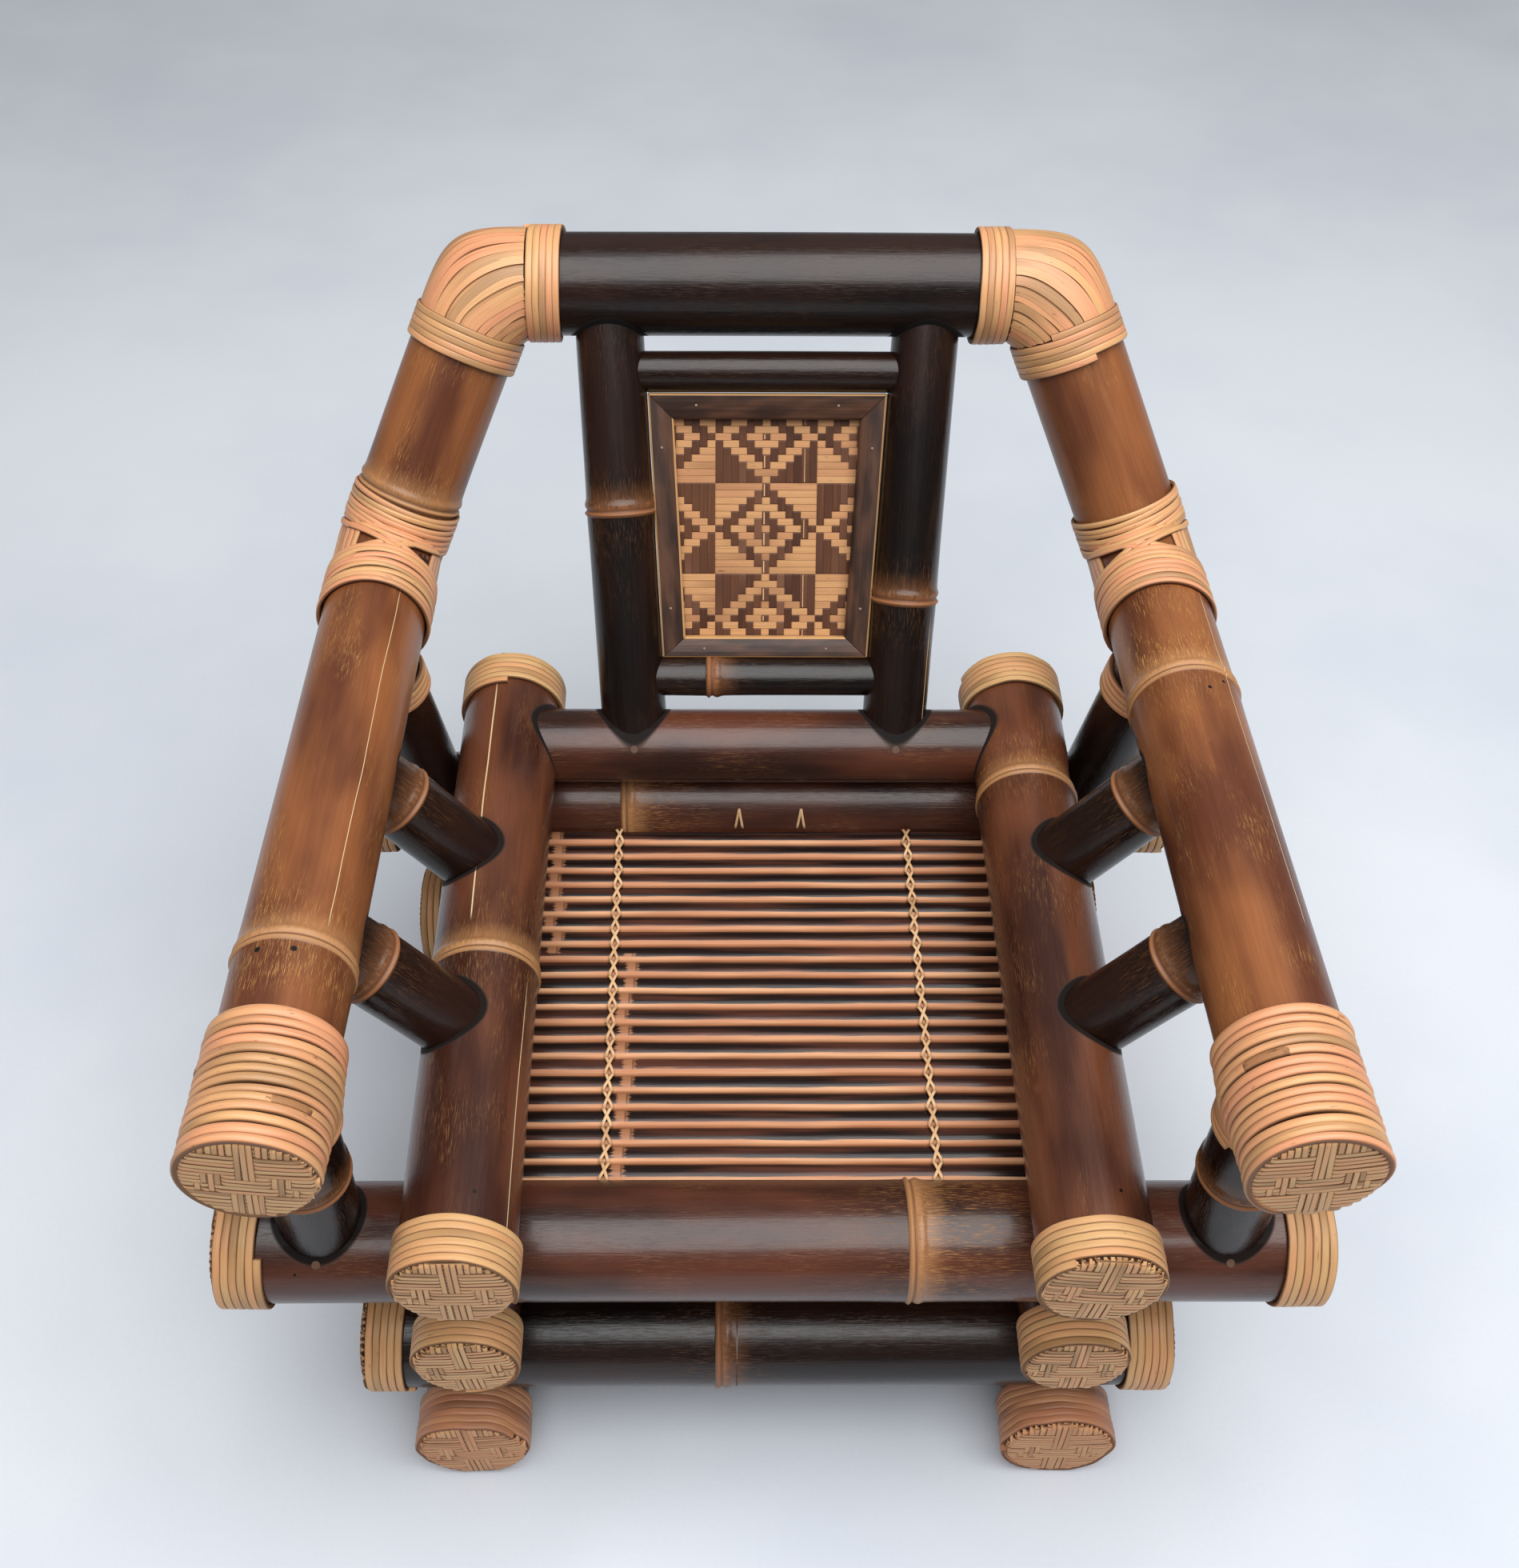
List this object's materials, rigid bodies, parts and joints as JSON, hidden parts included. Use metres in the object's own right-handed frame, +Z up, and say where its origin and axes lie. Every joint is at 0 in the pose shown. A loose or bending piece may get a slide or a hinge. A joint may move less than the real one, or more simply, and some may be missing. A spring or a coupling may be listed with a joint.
{
  "type": "bamboo armchair",
  "caption": "Low armchair of thick dark bamboo culms stacked crosswise, with rattan-bound ends, a slatted seat, wrap-around arms and a sloping back with a woven panel.",
  "frame": {"origin": "middle of the chair's footprint on the floor, at the centre of its bounding box", "axes": "+Z up, +Y towards the back, +X to the sitter's left (the viewer's right when facing the chair)"},
  "size_m": [0.77, 0.7243, 0.7159],
  "materials": {
    "bamboo_black": "near-black lacquered bamboo, glossy, with paler fibrous node rings",
    "bamboo_dark": "dark brown lacquered bamboo, glossy, with tan flecks and node rings",
    "bamboo_brown": "mid-brown lacquered bamboo with golden flecks, glossy",
    "frame_wood": "dark split bamboo strip with cream cut edges",
    "woven_bamboo": "flat woven bamboo strips in honey and dark brown",
    "pale_bamboo": "plain tan bamboo",
    "pale_cord": "cream twine",
    "rattan": "honey-coloured rattan strip, satin lacquer",
    "foot_rattan": "reddish rattan strip, satin lacquer"
  },
  "bodies": {
    "root": {"arm_caps": "rattan", "arm_front_left": "bamboo_brown", "arm_front_right": "bamboo_brown", "arm_rear_left": "bamboo_brown", "arm_rear_right": "bamboo_brown", "arm_saddles": "rattan", "arm_strut_front_left": "bamboo_black", "arm_strut_front_right": "bamboo_black", "arm_strut_rear_left": "bamboo_black", "arm_strut_rear_right": "bamboo_black", "arm_windings": "rattan", "back_post_left": "bamboo_black", "back_post_right": "bamboo_black", "backrest_lower_bar": "bamboo_black", "backrest_upper_bar": "bamboo_black", "cross_rail_bindings": "rattan", "cross_rail_caps": "rattan", "crossing_dowels": "pale_bamboo", "elbow_cover_left": "rattan", "elbow_cover_right": "rattan", "elbow_rings": "rattan", "foot_bindings": "foot_rattan", "foot_caps": "foot_rattan", "foot_rail_left": "bamboo_dark", "foot_rail_right": "bamboo_dark", "front_cross_rail": "bamboo_dark", "front_post_left": "bamboo_black", "front_post_right": "bamboo_black", "knee_bands": "rattan", "knee_cover_left": "rattan", "knee_cover_right": "rattan", "knee_saddles": "rattan", "lower_cross_bindings": "rattan", "lower_cross_caps": "rattan", "lower_cross_rail_back": "bamboo_dark", "lower_cross_rail_front": "bamboo_dark", "panel_frame_bottom": "frame_wood", "panel_frame_left": "frame_wood", "panel_frame_right": "frame_wood", "panel_frame_top": "frame_wood", "post_collars": "rattan", "post_pegs": "pale_bamboo", "rear_cross_rail": "bamboo_dark", "rear_post_left": "bamboo_black", "rear_post_right": "bamboo_black", "seat_back_rail": "bamboo_dark", "seat_bearers": "pale_bamboo", "seat_side_rail_left": "bamboo_brown", "seat_side_rail_right": "bamboo_brown", "seat_slats": "bamboo_dark", "seat_ties": "pale_cord", "side_rail_bindings": "rattan", "side_rail_caps": "rattan", "spacer_rail_bindings": "rattan", "spacer_rail_caps": "rattan", "spacer_rail_left": "bamboo_dark", "spacer_rail_right": "bamboo_dark", "top_rail": "bamboo_black", "woven_panel": "woven_bamboo"}
  },
  "joints": []
}
